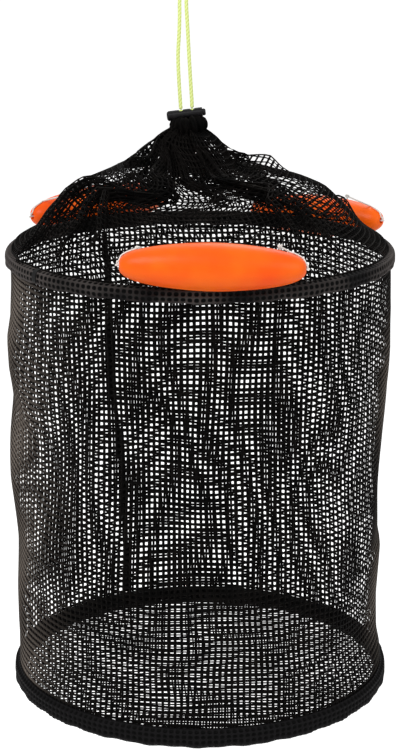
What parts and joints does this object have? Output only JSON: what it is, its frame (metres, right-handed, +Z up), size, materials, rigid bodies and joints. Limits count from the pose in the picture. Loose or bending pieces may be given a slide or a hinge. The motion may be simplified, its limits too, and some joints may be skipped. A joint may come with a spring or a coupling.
{
  "type": "keep net",
  "caption": "Round netting cage for live fish between two wire hoops, with a neck drawn shut by a cord and lock, and spindle floats tied round the top.",
  "frame": {"origin": "inner top of the draw cord's bight, where a hook or peg bears", "axes": "+Z up along the hanging net, -Y towards the front float, +X to the right seen from the front"},
  "size_m": [0.34, 0.4029, 0.7057],
  "materials": {
    "wire": "black coated",
    "ferrule": "dull",
    "sleeve": "ribbed knit",
    "patch": "woven tape",
    "net": "knotless netting",
    "tape": "woven tape",
    "lock": "satin",
    "button": "satin",
    "spring": "drawn wire",
    "cord": "fluorescent braid",
    "float": "satin orange",
    "twine": "twisted white nylon"
  },
  "bodies": {
    "upper_net": {"top_hoop_wire": "wire", "top_hoop_ferrule": "ferrule", "top_hoop_sleeve": "sleeve", "top_sleeve_patch": "patch", "neck_net": "net", "mouth_hem": "net", "draw_cord": "cord", "draw_cord_bight": "cord", "wall_net": "net", "wall_seam_tape": "tape", "front_knot_left": "twine", "front_knot_right": "twine", "left_knot_left": "twine", "left_knot_right": "twine", "right_knot_left": "twine", "right_knot_right": "twine"},
    "bottom_frame": {"bottom_hoop_wire": "wire", "bottom_hoop_ferrule": "ferrule", "bottom_hoop_sleeve": "sleeve", "bottom_sleeve_patch": "patch", "base_net": "net"},
    "cord_lock": {"cord_lock_body": "lock", "cord_lock_spring": "spring"},
    "lock_button": {"cord_lock_button": "button"},
    "front_float_tie": {"front_float_twine": "twine"},
    "front_float_body": {"front_float": "float"},
    "left_float_tie": {"left_float_twine": "twine"},
    "left_float_body": {"left_float": "float"},
    "right_float_tie": {"right_float_twine": "twine"},
    "right_float_body": {"right_float": "float"}
  },
  "joints": [
    {"name": "net_collapse", "type": "slide", "parent": "upper_net", "child": "bottom_frame", "axis": [0, 0, 1], "range_m": [0, 0.355], "deforming": ["wall_net", "wall_seam_tape"]},
    {"name": "cord_lock_slide", "type": "slide", "parent": "upper_net", "child": "cord_lock", "axis": [-0.0593, 0, 0.9982], "range_m": [0, 0.045]},
    {"name": "lock_button_press", "type": "slide", "parent": "cord_lock", "child": "lock_button", "axis": [-0.9925, 0, -0.1219], "range_m": [0, 0.0024], "stiffness_N_per_m": 500, "springref_m": -0.002, "deforming": ["cord_lock_spring"]},
    {"name": "front_float_swing", "type": "hinge", "parent": "upper_net", "child": "front_float_tie", "pos_m": [0.022, -0.13772, -0.27546], "axis": [-0.9983, -0.0575, 0], "range_deg": [0, 100]},
    {"name": "front_float_spin", "type": "hinge", "parent": "front_float_tie", "child": "front_float_body", "pos_m": [0.02464, -0.17421, -0.2834], "axis": [0.9978, 0.0575, -0.0332], "continuous": true},
    {"name": "left_float_swing", "type": "hinge", "parent": "upper_net", "child": "left_float_tie", "pos_m": [-0.05716, 0.1213, -0.27472], "axis": [0.8572, 0.515, 0], "range_deg": [0, 100]},
    {"name": "left_float_spin", "type": "hinge", "parent": "left_float_tie", "child": "left_float_body", "pos_m": [-0.08097, 0.16096, -0.2977], "axis": [-0.8139, -0.5805, -0.0244], "continuous": true},
    {"name": "right_float_swing", "type": "hinge", "parent": "upper_net", "child": "right_float_tie", "pos_m": [0.09867, 0.12, -0.27472], "axis": [0.824, -0.5666, 0], "range_deg": [0, 100]},
    {"name": "right_float_spin", "type": "hinge", "parent": "right_float_tie", "child": "right_float_body", "pos_m": [0.12424, 0.15542, -0.3058], "axis": [-0.7859, 0.6162, -0.0523], "continuous": true}
  ]
}
